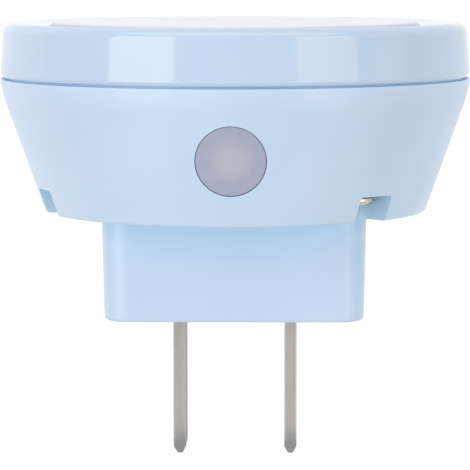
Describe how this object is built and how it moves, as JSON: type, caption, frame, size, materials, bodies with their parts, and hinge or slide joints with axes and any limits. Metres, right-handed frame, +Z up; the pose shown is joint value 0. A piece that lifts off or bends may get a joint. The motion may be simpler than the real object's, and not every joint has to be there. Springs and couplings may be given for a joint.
{
  "type": "plug-in night light",
  "caption": "Round plug-in night light with a frosted face, a sloped bowl with a light sensor window, and a plug block with flat blades.",
  "frame": {"origin": "middle of the plug block's rear face, on the wall plane and on the lamp's axis", "axes": "+Z is up on the wall, towards the sensor window; +Y runs into the wall along the blades; the lit face looks towards -Y; +X is to the right of someone who faces the wall"},
  "size_m": [0.0534, 0.0498, 0.0534],
  "materials": {
    "blue_plastic": "satin pale blue moulded plastic",
    "bezel_plastic": "glossy pale blue moulded plastic",
    "frosted_plastic": "frosted white diffusing plastic",
    "window_plastic": "frosted grey-lavender plastic",
    "dark_plastic": "black moulded plastic",
    "photocell_ceramic": "ceramic disc",
    "tinned_wire": "tinned copper wire",
    "nickel": "satin nickel plate",
    "white_plastic": "white moulded plastic",
    "zinc": "zinc plate",
    "board_green": "green coated circuit board",
    "emitter_yellow": "yellow coated light emitters",
    "film_orange": "dipped orange capacitor",
    "sleeve_blue": "dark blue sleeve",
    "resistor_tan": "tan coated resistor",
    "black_insulation": "black wire insulation",
    "red_insulation": "red wire insulation"
  },
  "bodies": {
    "root": {"rear_housing": "blue_plastic", "front_bezel": "bezel_plastic", "lens": "frosted_plastic", "sensor_window": "window_plastic", "light_shield": "dark_plastic", "photocell": "photocell_ceramic", "photocell_leads": "tinned_wire", "left_blade": "nickel", "right_blade": "nickel", "blade_clamp": "white_plastic", "clamp_screws": "zinc", "case_screws": "nickel", "circuit_board": "board_green", "board_screws": "zinc", "light_emitters": "emitter_yellow", "reflector": "white_plastic", "film_capacitor": "film_orange", "electrolytic_capacitor": "sleeve_blue", "bridge_rectifier": "dark_plastic", "fusible_resistor": "resistor_tan", "chip_resistors": "dark_plastic", "transistor": "dark_plastic", "left_wire": "black_insulation", "right_wire": "red_insulation"}
  },
  "joints": []
}
